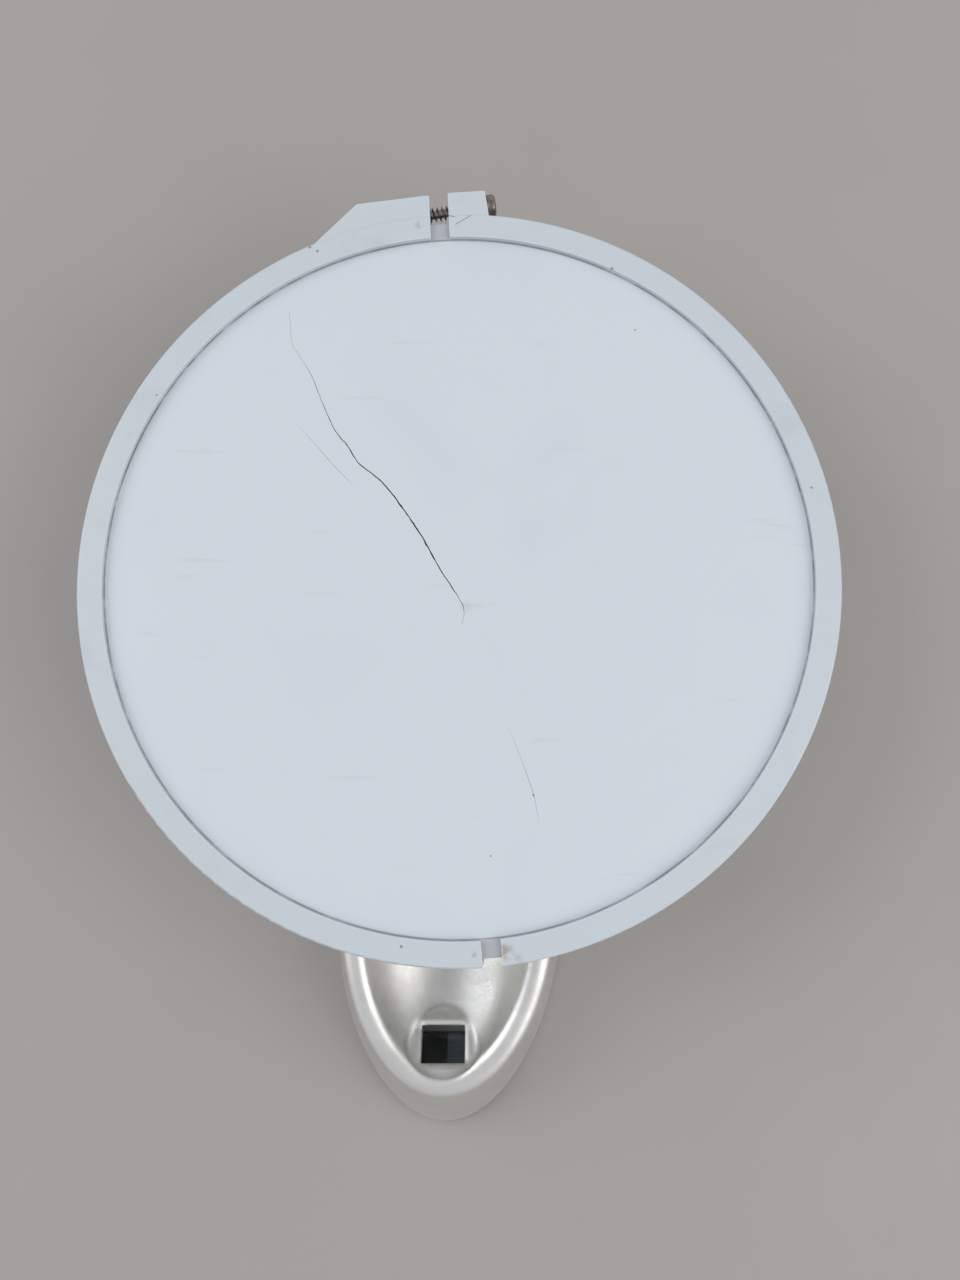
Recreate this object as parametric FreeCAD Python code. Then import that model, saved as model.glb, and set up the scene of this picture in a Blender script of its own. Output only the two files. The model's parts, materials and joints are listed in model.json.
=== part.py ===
import FreeCAD, Part
import math
import os
from FreeCAD import Vector

# Round bathroom scale with a readout pod in front of the platform.
# Millimetres, +Z up. The pieces are drawn about the platform's own centre line at floor level,
# with the pod towards -Y and the clamp screw at the back, and moved at the end so that the
# origin is the middle of the whole object's footprint.

# ---------------------------------------------------------------- driving dimensions
# Platform and clamp band
BAND_RADIUS = 140.0          # outside of the clamp band
BAND_TOP = 75.0              # top face of the band above the floor
BAND_HEIGHT = 14.0
BAND_WALL = 2.0
BAND_EDGE_ROUND = 0.9        # rounding of the band's outer top edge
LIP_THICKNESS = 1.8
TOP_LIP_WIDTH = 9.3
BOTTOM_LIP_WIDTH = 9.0
STACK_GAP = 0.1              # between a lip and what it holds down
RIM_GAP = 0.8                # between the band's wall and the platform's rim
PAN_SHEET = 1.6
PAN_CURB_GAP = 3.8           # between the pan's slope and the drum's wall
PAN_SLOPE_RUN = 4.0
PAN_DEPTH = 6.9              # from the flange's underside down to the plate's underside
SEAL_THICKNESS = 1.5
SEAL_WIDTH = 6.0
COVER_TOP_THICKNESS = 3.4
COVER_FIELD_DROP = 0.5        # the open field lies this much below the border under the lips
COVER_BORDER_SHOW = 0.25      # how far that border stands inside the lips
COVER_SKIRT = 4.2
COVER_EDGE_ROUND = 0.5
COVER_RIB = 1.6
COVER_RIB_COUNT = 12
COVER_HUB_RADIUS = 9.0

# Gaps between the band's two halves, and the two lugs at the back
BACK_GAP_ANGLE = 94.9
BACK_GAP = 7.3
FRONT_GAP_ANGLE = -82.3
FRONT_GAP = 7.0
LUG_REACH = 8.3              # how far the lugs stand out of the band
LUG_RECESS = 0.5             # lug faces lie this much inside the band's top and bottom
LEFT_LUG_FLAT = 28.0         # length of the long lug's straight back
LEFT_LUG_TAPER = 1.9         # how much that back falls towards the ramp
LEFT_LUG_RAMP = 16.5
RIGHT_LUG_LENGTH = 18.3      # from the gap's middle to the seat of the screw's head
LUG_EDGE_ROUND = 0.6

# Clamp screw
SCREW_SKEW = 6.0             # the screw lies this many degrees off the band's tangent
SCREW_OUTER = 2.65
SCREW_CORE = 1.5
SCREW_PITCH = 1.85
SCREW_SHANK = 9.0            # plain length under the head
SCREW_LENGTH = 36.0          # under the head, without the point
SCREW_POINT = 4.0
SCREW_HEAD_RADIUS = 4.2
SCREW_HEAD_HEIGHT = 3.7
RUNNING_GAP = 0.06           # radial clearance of turning and sliding fits

# Joining strap below the front gap
STRAP_THICKNESS = 1.5
STRAP_WIDTH = 6.5
STRAP_HALF_ANGLE = 9.0
STRAP_PIN_ANGLE = 6.0
STRAP_PIN_RADIUS = 1.5
STRAP_DROP = 0.3             # clear space between the strap and the band
CLAMP_OPENING = 1.85         # how far each half backs off when the screw is let out two turns

# Base casting
BASE_CLEARANCE = 3.0         # the casting's rim above the floor
DRUM_RADIUS = 124.0
CASTING_WALL = 3.0
CURB_TOP = 57.0
DECK_TOP = 46.0
DECK_THICKNESS = 3.0

# Readout pod in front of the drum
POD_CENTRE = 125.0           # its ellipse's centre, in front of the platform's centre line
POD_HALF_WIDTH = 45.5
POD_HALF_LENGTH = 90.5
POD_RIM_HEIGHT = 36.0
POD_TOP_HALF_WIDTH = 41.0
POD_TOP_HALF_LENGTH = 69.5
POD_BULGE = 2.2              # the wall bows out by this much half way up
POD_RIM_WIDTH = 7.2          # the level rim between the wall and the dish, before rounding
DISH_DEPTH = 24.3
DISH_LIFT = 6.0              # the dish's ellipsoid has its middle this far above the rim

# Display
WINDOW_FORWARD = 178.2       # the boss's face centre, in front of the centre line
WINDOW_HEIGHT = 27.5
WINDOW_TILT = 33.0           # the face leans back towards the person on the platform
WINDOW_TWIST = 2.5           # the opening is turned this much about the face's own axis
WINDOW_WIDTH = 17.1
WINDOW_LENGTH = 14.8
BOSS_RADIUS = 15.5
BOSS_EDGE_ROUND = 2.4
BOSS_DRAFT = 0.5             # the wall that frees the face from the rim spreads at this rate
BOSS_DEPTH = 8.5
DISPLAY_SIZE = 21.0
LENS_THICKNESS = 1.5
MASK_THICKNESS = 0.8
MASK_EDGE = 1.3              # the mask covers the window from its left edge to this line
GLASS_THICKNESS = 1.8
DISPLAY_BOARD_THICKNESS = 1.6
HOLDER_EAR = 5.5
HOLDER_SCREW_RADIUS = 1.3

# Load cells
CELL_RADIUS = 86.0           # distance from the centre line
CELL_ANGLES = (45.0, 135.0, 225.0, 315.0)
CELL_SIZE = 34.0
CELL_OPENING = 22.0
CELL_THICKNESS = 2.5
CELL_RAIL = 1.5              # height of the cast rails that carry a cell
CELL_BEAM_WIDTH = 9.0
CELL_SLOT = 0.6
CELL_SCREW_RADIUS = 1.8
BUTTON_RADIUS = 6.0
PLATFORM_TRAVEL = 1.0
STOP_CLEARANCE = PLATFORM_TRAVEL + 0.2
STOP_RADIUS = 3.0
STOP_ANGLES = (0.0, 90.0, 180.0, 270.0)
STOP_DISTANCE = 98.0

# Bottom cover, feet and battery compartment
COVER_PLATE = 2.0
COVER_PLATE_LIFT = 0.5       # the plate sits this far above the casting's rim
COVER_PLATE_GAP = 0.5
COVER_SCREW_ANGLES = (0.0, 90.0, 180.0, 244.0, 296.0)
COVER_SCREW_DISTANCE = 111.0
COVER_SCREW_RADIUS = 1.8
POST_RADIUS = 4.5
FOOT_RADIUS = 10.0
FOOT_STEM_RADIUS = 3.0
FOOT_PLACES = {
    "foot_pad_back_right": (76.0, 76.0),
    "foot_pad_back_left": (-76.0, 76.0),
    "foot_pad_front_right": (76.0, -76.0),
    "foot_pad_front_left": (-76.0, -76.0),
    "foot_pad_nose": (0.0, -186.0),
}
BATTERY_RADIUS = 7.2
BATTERY_LENGTH = 50.5
BATTERY_GAP = 0.8
BATTERY_COUNT = 4
SPRING_LENGTH = 5.5
CONTACT_THICKNESS = 0.5
TRAY_WALL = 2.0
TRAY_CENTRE_Y = 30.0
TRAY_FLOOR_GAP = 1.4         # the batteries' lowest line above the hatch
HATCH_GAP = 0.5
HINGE_PIN_RADIUS = 1.2
KNUCKLE_RADIUS = 2.4

# Main board and unit button
BOARD_LENGTH = 76.0
BOARD_WIDTH = 40.0
BOARD_THICKNESS = 1.6
BOARD_HEIGHT = 14.0
BOARD_CENTRE_Y = -58.0
BOARD_POST_INSET = 4.5
BOARD_POST_RADIUS = 3.5
BOARD_SCREW_RADIUS = 1.3
SWITCH_X = 24.0
SWITCH_Y = -58.0
KEY_RADIUS = 4.5
KEY_TRAVEL = 0.6
LEAD_RADIUS = 1.1

# ---------------------------------------------------------------- worked-out sizes
BATTERY_PITCH = 2 * BATTERY_RADIUS + BATTERY_GAP
BAND_BOTTOM = BAND_TOP - BAND_HEIGHT
BAND_INNER = BAND_RADIUS - BAND_WALL
PLATFORM_RADIUS = BAND_INNER - RIM_GAP
LIP_INNER = BAND_RADIUS - TOP_LIP_WIDTH
COVER_TOP = BAND_TOP - LIP_THICKNESS - STACK_GAP
FLANGE_BOTTOM = BAND_BOTTOM + LIP_THICKNESS + STACK_GAP
FLANGE_TOP = FLANGE_BOTTOM + PAN_SHEET
SEAL_TOP = FLANGE_TOP + SEAL_THICKNESS
PAN_BOTTOM = FLANGE_BOTTOM - PAN_DEPTH
PAN_TOP = PAN_BOTTOM + PAN_SHEET
DECK_BOTTOM = DECK_TOP - DECK_THICKNESS
DRUM_INNER = DRUM_RADIUS - CASTING_WALL
PAN_PLATE_RADIUS = DRUM_INNER - PAN_CURB_GAP - PAN_SLOPE_RUN
PAN_FLANGE_WIDTH = PLATFORM_RADIUS - PAN_PLATE_RADIUS - PAN_SLOPE_RUN
CELL_BOTTOM = DECK_TOP + CELL_RAIL
CELL_TOP = CELL_BOTTOM + CELL_THICKNESS
PLATE_BOTTOM = BASE_CLEARANCE + COVER_PLATE_LIFT
DISH_HALF_WIDTH = POD_TOP_HALF_WIDTH - POD_RIM_WIDTH
DISH_HALF_LENGTH = POD_TOP_HALF_LENGTH - POD_RIM_WIDTH
POD_RIM_ROUND = POD_RIM_WIDTH * 0.52
DISH_EDGE_ROUND = POD_RIM_WIDTH * 0.45
PLATE_TOP = PLATE_BOTTOM + COVER_PLATE
CLAMP_LEVEL = (BAND_TOP + BAND_BOTTOM) / 2
CLAMP_RADIUS = BAND_RADIUS + LUG_REACH / 2
WINDOW_CENTRE = Vector(0, -WINDOW_FORWARD, WINDOW_HEIGHT)
LENS_TOP = -BOSS_DEPTH
MASK_TOP = LENS_TOP - LENS_THICKNESS
GLASS_TOP = MASK_TOP - MASK_THICKNESS
DISPLAY_BOARD_TOP = GLASS_TOP - GLASS_THICKNESS - 0.4
HOLDER_BOTTOM = DISPLAY_BOARD_TOP
TRAY_INNER_WIDTH = BATTERY_PITCH * BATTERY_COUNT + 1.0
TRAY_INNER_LENGTH = BATTERY_LENGTH + SPRING_LENGTH + 2 * CONTACT_THICKNESS + 0.6
BATTERY_LEVEL = PLATE_TOP + TRAY_FLOOR_GAP + BATTERY_RADIUS
TRAY_TOP = BATTERY_LEVEL + BATTERY_RADIUS + 1.0 + TRAY_WALL
HATCH_BACK = TRAY_CENTRE_Y + TRAY_INNER_LENGTH / 2
HATCH_FRONT = TRAY_CENTRE_Y - TRAY_INNER_LENGTH / 2
HINGE_Y = HATCH_FRONT - TRAY_WALL - KNUCKLE_RADIUS - 0.6
HINGE_Z = PLATE_TOP + 0.2
HINGE_WIDTH = 40.0
HINGE_PIN_SPARE = 11.0         # the pin is this much longer than the hatch's knuckle
EAR_REACH = 1.8                # the ears' length past the hinge's axis
HATCH_EDGE = 3.2               # from the hinge's axis to the hatch's near edge
UP = Vector(0, 0, 1)
ALONG_X = Vector(1, 0, 0)


# ---------------------------------------------------------------- helpers
def disc(radius, low, high, x=0.0, y=0.0):
    return Part.makeCylinder(radius, high - low, Vector(x, y, low))


def ring(inner, outer, low, high):
    return disc(outer, low, high).cut(disc(inner, low - 1, high + 1))


def block(x0, x1, y0, y1, z0, z1):
    return Part.makeBox(x1 - x0, y1 - y0, z1 - z0, Vector(x0, y0, z0))


def centred_block(size_x, size_y, z0, z1, x=0.0, y=0.0):
    return block(x - size_x / 2, x + size_x / 2, y - size_y / 2, y + size_y / 2, z0, z1)


def joined(shapes):
    first, rest = shapes[0], shapes[1:]
    return first.fuse(rest).removeSplitter() if rest else first


def revolved(profile):
    """Turns a closed outline of (radius, height) points about the centre line."""
    points = [Vector(radius, 0, height) for radius, height in profile]
    face = Part.Face(Part.makePolygon(points + points[:1]))
    return face.revolve(Vector(), UP, 360)


def prism(outline, low, high):
    """Extrudes a closed outline of XY points from low to high."""
    points = [Vector(p.x, p.y, low) for p in outline]
    face = Part.Face(Part.makePolygon(points + points[:1]))
    return face.extrude(Vector(0, 0, high - low))


def turned(shape, degrees):
    return shape.copy().rotate(Vector(), UP, degrees)


def shifted(shape, x, y, z):
    return shape.copy().translate(Vector(x, y, z))


def edges_at(shape, keep):
    """The edges whose middle point passes the test."""
    found = []
    for edge in shape.Edges:
        middle = edge.valueAt((edge.FirstParameter + edge.LastParameter) / 2)
        if keep(middle, edge):
            found.append(edge)
    return found


def polar(radius, degrees, z=0.0):
    angle = math.radians(degrees)
    return Vector(radius * math.cos(angle), radius * math.sin(angle), z)


def ellipse_wire(half_width, half_length, y, z):
    centre = Vector(0, y, z)
    curve = Part.Ellipse(centre + Vector(0, half_length, 0), centre + Vector(half_width, 0, 0), centre)
    return Part.Wire([curve.toShape()])


def coil(radius, wire_radius, pitch, length):
    """A coil spring of eight-sided wire standing on z = 0, measured over its wire."""
    height = length - 2 * wire_radius
    path = Part.makeHelix(pitch, height, radius)
    corners = []
    for number in range(8):
        angle = math.radians(22.5 + 45 * number)
        corners.append(Vector(radius + wire_radius * math.cos(angle), 0, wire_radius * math.sin(angle)))
    section = Part.makePolygon(corners + corners[:1])
    return shifted(path.makePipeShell([section], True, True), 0, 0, wire_radius)


def lead(points, radius):
    """A round lead: straight runs with a ball at each bend."""
    pieces = []
    for start, end in zip(points, points[1:]):
        run = end - start
        pieces.append(Part.makeCylinder(radius, run.Length, start, run))
    pieces += [Part.makeSphere(radius, bend) for bend in points[1:-1]]
    return joined(pieces)


# ---------------------------------------------------------------- platform
def platform_pan():
    inner_step = PAN_PLATE_RADIUS - 1.0
    profile = [
        (0, PAN_BOTTOM),
        (PAN_PLATE_RADIUS, PAN_BOTTOM),
        (PAN_PLATE_RADIUS + PAN_SLOPE_RUN, FLANGE_BOTTOM),
        (PLATFORM_RADIUS, FLANGE_BOTTOM),
        (PLATFORM_RADIUS, FLANGE_TOP),
        (inner_step + PAN_SLOPE_RUN, FLANGE_TOP),
        (inner_step, PAN_TOP),
        (0, PAN_TOP),
    ]
    return revolved(profile)


def platform_seal():
    return ring(PLATFORM_RADIUS - SEAL_WIDTH, PLATFORM_RADIUS, FLANGE_TOP, SEAL_TOP)


def platform_cover():
    plate_bottom = COVER_TOP - COVER_TOP_THICKNESS
    plate = disc(PLATFORM_RADIUS, plate_bottom, COVER_TOP)
    skirt = ring(PLATFORM_RADIUS - COVER_SKIRT, PLATFORM_RADIUS, SEAL_TOP, COVER_TOP)
    rib_reach = PAN_PLATE_RADIUS - 3.0
    pieces = [plate, skirt, disc(COVER_HUB_RADIUS, PAN_TOP, COVER_TOP)]
    for radius in (rib_reach / 3, rib_reach * 2 / 3, rib_reach):
        pieces.append(ring(radius - COVER_RIB, radius, PAN_TOP, plate_bottom + 1))
    for number in range(COVER_RIB_COUNT):
        rib = block(COVER_HUB_RADIUS - 1, rib_reach - 0.5, -COVER_RIB / 2, COVER_RIB / 2,
                    PAN_TOP, plate_bottom + 1)
        pieces.append(turned(rib, 360.0 / COVER_RIB_COUNT * number))
    field = disc(LIP_INNER - COVER_BORDER_SHOW, COVER_TOP - COVER_FIELD_DROP, COVER_TOP + 1)
    cover = joined(pieces).cut(field)
    top_edge = edges_at(cover, lambda p, e: p.z > COVER_TOP - 0.01 and e.Length > 6 * PLATFORM_RADIUS)
    return cover.makeFillet(COVER_EDGE_ROUND, top_edge)


# ---------------------------------------------------------------- clamp band
def clamp_point(along, out):
    """A point beside the back gap: along the band's tangent to the right, and out from the centre."""
    outward = polar(1, BACK_GAP_ANGLE)
    tangent = Vector(outward.y, -outward.x, 0)
    return tangent * along + outward * out


def on_screw_line(along, out=0.0):
    """A point given along and square to the clamp screw's line."""
    skew = math.radians(SCREW_SKEW)
    return clamp_point(along * math.cos(skew) - out * math.sin(skew),
                       CLAMP_RADIUS + along * math.sin(skew) + out * math.cos(skew))


def screw_direction():
    return on_screw_line(1.0) - on_screw_line(0.0)


def along_screw(shape):
    """Moves a piece drawn along +X onto the clamp screw's line."""
    direction = screw_direction()
    placed = turned(shape, math.degrees(math.atan2(direction.y, direction.x)))
    start = on_screw_line(0.0)
    return shifted(placed, start.x, start.y, CLAMP_LEVEL)


def band_ring():
    wall = ring(BAND_INNER, BAND_RADIUS, BAND_BOTTOM, BAND_TOP)
    top_lip = ring(LIP_INNER, BAND_RADIUS, BAND_TOP - LIP_THICKNESS, BAND_TOP)
    bottom_lip = ring(BAND_RADIUS - BOTTOM_LIP_WIDTH, BAND_RADIUS, BAND_BOTTOM, BAND_BOTTOM + LIP_THICKNESS)
    band = joined([wall, top_lip, bottom_lip])
    outer_edges = edges_at(band, lambda p, e: math.hypot(p.x, p.y) > BAND_RADIUS - 0.01
                           and e.Length > 6 * BAND_INNER)
    return band.makeFillet(BAND_EDGE_ROUND, outer_edges)


def gap_cutter(angle, width):
    return turned(centred_block(width, 60, BAND_BOTTOM - 5, BAND_TOP + 5, 0, BAND_RADIUS), angle - 90)


def lug(outline):
    """A solid lug that reaches into the band's wall but not into its channel."""
    body = prism(outline, BAND_BOTTOM + LUG_RECESS, BAND_TOP - LUG_RECESS)
    body = body.cut(disc(BAND_RADIUS - BAND_WALL / 2, 0, BAND_TOP + 10))
    upright = edges_at(body, lambda p, e: abs(e.Length - (BAND_HEIGHT - 2 * LUG_RECESS)) < 0.01
                       and math.hypot(p.x, p.y) > BAND_RADIUS + 2)
    return body.makeFillet(LUG_EDGE_ROUND, upright)


def side_of_gaps(side):
    """A prism over the part of the band on one side of both gaps: -1 is left, 1 is right."""
    reach = 2 * BAND_RADIUS
    outline = [polar(reach, BACK_GAP_ANGLE), Vector(), polar(reach, FRONT_GAP_ANGLE),
               Vector(side * reach, -reach, 0), Vector(side * reach, reach, 0)]
    return prism(outline, BAND_BOTTOM - 5, BAND_TOP + 5)


def band_half(side):
    half = band_ring().common(side_of_gaps(side))
    return half.cut([gap_cutter(BACK_GAP_ANGLE, BACK_GAP), gap_cutter(FRONT_GAP_ANGLE, FRONT_GAP)])


def strap_hole(side):
    place = polar(strap_pin_distance(), FRONT_GAP_ANGLE + side * STRAP_PIN_ANGLE)
    return disc(STRAP_PIN_RADIUS, BAND_BOTTOM - 1, BAND_BOTTOM + LIP_THICKNESS + 0.01, place.x, place.y)


def clamp_band_left():
    back = BAND_RADIUS + LUG_REACH
    bend = BACK_GAP / 2 + LEFT_LUG_FLAT
    end = bend + LEFT_LUG_RAMP
    ramp_foot = math.sqrt(BAND_RADIUS ** 2 - end ** 2)
    outline = [
        clamp_point(-BACK_GAP / 2, BAND_RADIUS - 15),
        clamp_point(-BACK_GAP / 2, back),
        clamp_point(-bend, back - LEFT_LUG_TAPER),
        clamp_point(-end, ramp_foot),
        clamp_point(-end, BAND_RADIUS - 25),
    ]
    half = joined([band_half(-1), lug(outline)])
    bottom = RIGHT_LUG_LENGTH - SCREW_LENGTH - SCREW_POINT - 1.0
    bore = Part.makeCylinder(SCREW_OUTER + RUNNING_GAP, -bottom, Vector(bottom, 0, 0), ALONG_X)
    return half.cut([along_screw(bore), strap_hole(-1)])


def clamp_band_right():
    skew = math.radians(SCREW_SKEW)
    back = BAND_RADIUS + LUG_REACH + 0.5
    seat_middle = RIGHT_LUG_LENGTH * math.cos(skew)
    seat_out = CLAMP_RADIUS + RIGHT_LUG_LENGTH * math.sin(skew)
    lean = math.tan(skew)
    outline = [
        clamp_point(BACK_GAP / 2, BAND_RADIUS - 15),
        clamp_point(BACK_GAP / 2, back),
        clamp_point(seat_middle + (seat_out - back) * lean, back),
        clamp_point(seat_middle + (seat_out - BAND_RADIUS + 15) * lean, BAND_RADIUS - 15),
    ]
    half = joined([band_half(1), lug(outline)])
    bore = Part.makeCylinder(SCREW_OUTER + RUNNING_GAP, RIGHT_LUG_LENGTH + 5, Vector(-1, 0, 0), ALONG_X)
    return half.cut([along_screw(bore), strap_hole(1)])


def clamp_screw():
    """Coarse thread, plain shank and pan head with a cross recess. The tip points to -X."""
    shank_end = RIGHT_LUG_LENGTH - SCREW_SHANK
    tip = RIGHT_LUG_LENGTH - SCREW_LENGTH
    thread_length = shank_end - tip - 3.0
    core = Part.makeCylinder(SCREW_CORE, shank_end - tip, Vector(tip, 0, 0), ALONG_X)
    point = Part.makeCone(0.4, SCREW_CORE, SCREW_POINT, Vector(tip - SCREW_POINT, 0, 0), ALONG_X)
    shank = Part.makeCylinder(SCREW_OUTER, SCREW_SHANK, Vector(shank_end, 0, 0), ALONG_X)
    collar = Part.makeCylinder(SCREW_HEAD_RADIUS, 1.0, Vector(RIGHT_LUG_LENGTH, 0, 0), ALONG_X)
    crown = Part.makeCylinder(SCREW_HEAD_RADIUS, SCREW_HEAD_HEIGHT - 1.0,
                              Vector(RIGHT_LUG_LENGTH + 1.0, 0, 0), ALONG_X)
    head = joined([collar, crown])
    far = RIGHT_LUG_LENGTH + SCREW_HEAD_HEIGHT
    head = head.makeFillet(1.5, edges_at(head, lambda p, e: p.x > far - 0.01 and e.Length > 10))
    for angle in (0, 90):
        slot = block(far - 2.0, far + 1, -0.6, 0.6, -2.2, 2.2)
        head = head.cut(slot.rotate(Vector(), ALONG_X, angle))
    return along_screw(joined([core, point, shank, head]).fuse(screw_thread(tip + 1.5, thread_length)))


def screw_thread(start, length):
    path = Part.makeHelix(SCREW_PITCH, length, SCREW_CORE)
    root, crest = 0.55, 0.1
    section = [Vector(SCREW_CORE - 0.25, 0, -root), Vector(SCREW_OUTER, 0, -crest),
               Vector(SCREW_OUTER, 0, crest), Vector(SCREW_CORE - 0.25, 0, root)]
    thread = path.makePipeShell([Part.makePolygon(section + section[:1])], True, True)
    thread.rotate(Vector(), Vector(0, 1, 0), 90)
    return shifted(thread, start, 0, 0)


# ---------------------------------------------------------------- joining strap
def strap_pin_distance():
    return PLATFORM_RADIUS - STRAP_WIDTH / 2 - 0.2


def joining_strap():
    top = BAND_BOTTOM - STRAP_DROP
    low = top - STRAP_THICKNESS
    middle = strap_pin_distance()
    strip = ring(middle - STRAP_WIDTH / 2, middle + STRAP_WIDTH / 2, low, top)
    edges = [Vector(), polar(200, FRONT_GAP_ANGLE - STRAP_HALF_ANGLE),
             polar(200, FRONT_GAP_ANGLE + STRAP_HALF_ANGLE)]
    strap = strip.common(prism(edges, low - 1, top + 1))
    right = polar(middle, FRONT_GAP_ANGLE + STRAP_PIN_ANGLE)
    strap = strap.cut(disc(STRAP_PIN_RADIUS, low - 1, top + 1, right.x, right.y))
    left = polar(middle, FRONT_GAP_ANGLE - STRAP_PIN_ANGLE)
    travel = screw_direction() * (-2 * CLAMP_OPENING)
    slot_radius = STRAP_PIN_RADIUS + 0.3
    across = Vector(-travel.y, travel.x, 0).normalize() * slot_radius
    corners = [left + across, left + travel + across, left + travel - across, left - across]
    slot = joined([prism(corners, low - 1, top + 1), disc(slot_radius, low - 1, top + 1, left.x, left.y),
                   disc(slot_radius, low - 1, top + 1, left.x + travel.x, left.y + travel.y)])
    return strap.cut(slot)


def strap_pin(side):
    place = polar(strap_pin_distance(), FRONT_GAP_ANGLE + side * STRAP_PIN_ANGLE)
    strap_bottom = BAND_BOTTOM - STRAP_DROP - STRAP_THICKNESS
    head_top = strap_bottom - (0.3 if side < 0 else 0.0)
    shank = disc(STRAP_PIN_RADIUS, head_top, BAND_BOTTOM + LIP_THICKNESS, place.x, place.y)
    head = disc(STRAP_PIN_RADIUS * 1.8, head_top - 1.2, head_top, place.x, place.y)
    return joined([shank, head])


# ---------------------------------------------------------------- base casting
def pod_blank(shrink):
    """The pod's outside with a sharp rim, or the room inside it when shrunk by the wall."""
    low = BASE_CLEARANCE if shrink == 0 else -1.0
    half_way = (POD_HALF_WIDTH + POD_TOP_HALF_WIDTH) / 2 + POD_BULGE
    half_way_long = (POD_HALF_LENGTH + POD_TOP_HALF_LENGTH) / 2 + POD_BULGE
    sections = [
        ellipse_wire(POD_HALF_WIDTH - shrink, POD_HALF_LENGTH - shrink, -POD_CENTRE, low),
        ellipse_wire(half_way - shrink, half_way_long - shrink, -POD_CENTRE,
                     (BASE_CLEARANCE + POD_RIM_HEIGHT) / 2),
        ellipse_wire(POD_TOP_HALF_WIDTH - shrink, POD_TOP_HALF_LENGTH - shrink, -POD_CENTRE,
                     POD_RIM_HEIGHT - shrink),
    ]
    return Part.makeLoft(sections, True, False)


def dish(grow):
    """The hollow in the pod's top: the low end of an ellipsoid whose middle is above the rim."""
    depth = DISH_DEPTH + grow
    half_height = depth + DISH_LIFT
    spread = 1 / math.sqrt(1 - (DISH_LIFT / half_height) ** 2)
    ball = Part.makeSphere(1.0)
    stretch = FreeCAD.Matrix()
    stretch.scale((DISH_HALF_WIDTH + grow) * spread, (DISH_HALF_LENGTH + grow) * spread, half_height)
    return shifted(ball.transformGeometry(stretch), 0, -POD_CENTRE, POD_RIM_HEIGHT + DISH_LIFT)


def tilted(shape):
    """Moves a piece drawn on the window's face, with z = 0 at that face, into the pod."""
    placed = turned(shape, WINDOW_TWIST).rotate(Vector(), ALONG_X, -WINDOW_TILT)
    return placed.translate(WINDOW_CENTRE)


def pod_shell():
    outside = pod_blank(0)
    outside = outside.makeFillet(POD_RIM_ROUND, edges_at(outside, lambda p, e: p.z > POD_RIM_HEIGHT - 0.01))
    dished = outside.cut(dish(0))
    lip = edges_at(dished, lambda p, e: p.z > POD_RIM_HEIGHT - 0.01
                   and abs(p.x) < DISH_HALF_WIDTH + 0.5 and abs(p.y + POD_CENTRE) < DISH_HALF_LENGTH + 0.5)
    dished = dished.makeFillet(DISH_EDGE_ROUND, lip)
    boss = disc(BOSS_RADIUS, -30, 0)
    boss = boss.makeFillet(BOSS_EDGE_ROUND, edges_at(boss, lambda p, e: p.z > -0.01))
    flat = BOSS_RADIUS - BOSS_EDGE_ROUND
    above_face = tilted(Part.makeCone(flat, flat + 30 * BOSS_DRAFT, 30))
    return dished.cut(above_face).fuse(tilted(boss).common(outside))


def pod_cavity():
    space = pod_blank(CASTING_WALL).cut(dish(CASTING_WALL))
    land = tilted(disc(BOSS_RADIUS + 1.5, -BOSS_DEPTH, 30))
    return space.cut(land)


def cover_post_places():
    places = [polar(COVER_SCREW_DISTANCE, angle) for angle in COVER_SCREW_ANGLES]
    return places + [Vector(28.0, -150.0, 0), Vector(-28.0, -150.0, 0)]


def board_post_places():
    half_x = BOARD_LENGTH / 2 - BOARD_POST_INSET
    half_y = BOARD_WIDTH / 2 - BOARD_POST_INSET
    return [Vector(x, BOARD_CENTRE_Y + y, 0) for x in (-half_x, half_x) for y in (-half_y, half_y)]


def casting_posts():
    posts = []
    for place in cover_post_places():
        if place.Length < DRUM_INNER:
            posts.append(disc(POST_RADIUS, PLATE_TOP, DECK_BOTTOM + 0.5, place.x, place.y))
        else:
            post = disc(POST_RADIUS, PLATE_TOP, POD_RIM_HEIGHT - 2, place.x, place.y)
            posts.append(post.common(pod_blank(CASTING_WALL / 2)).cut(dish(CASTING_WALL / 2)))
    board_top = BOARD_HEIGHT + BOARD_THICKNESS
    for place in board_post_places():
        posts.append(disc(BOARD_POST_RADIUS, board_top, DECK_BOTTOM + 0.5, place.x, place.y))
    return posts


def post_holes():
    holes = [disc(COVER_SCREW_RADIUS, 0, 16.0, p.x, p.y) for p in cover_post_places()]
    low = BOARD_HEIGHT + BOARD_THICKNESS
    holes += [disc(BOARD_SCREW_RADIUS, low - 1, low + 8, p.x, p.y) for p in board_post_places()]
    return holes


def holder_post_places():
    reach = DISPLAY_SIZE / 2 + HOLDER_EAR / 2
    return [(-reach, 0.0), (reach, 0.0)]


def cell_rails():
    """Two cast rails under each load cell."""
    rails = []
    for angle in CELL_ANGLES:
        for side in (-1, 1):
            offset = side * (CELL_SIZE + CELL_OPENING) / 4
            width = (CELL_SIZE - CELL_OPENING) / 2
            rail = centred_block(CELL_SIZE, width, DECK_TOP - 0.5, CELL_BOTTOM, CELL_RADIUS, offset)
            rails.append(turned(rail, angle))
    return rails


def cell_screw_places():
    offset = (CELL_SIZE + CELL_OPENING) / 4
    places = []
    for angle in CELL_ANGLES:
        for side in (-1, 1):
            spot = Vector(CELL_RADIUS - offset, side * offset, 0)
            radius = math.hypot(spot.x, spot.y)
            places.append(polar(radius, angle + math.degrees(math.atan2(spot.y, spot.x))))
    return places


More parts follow.
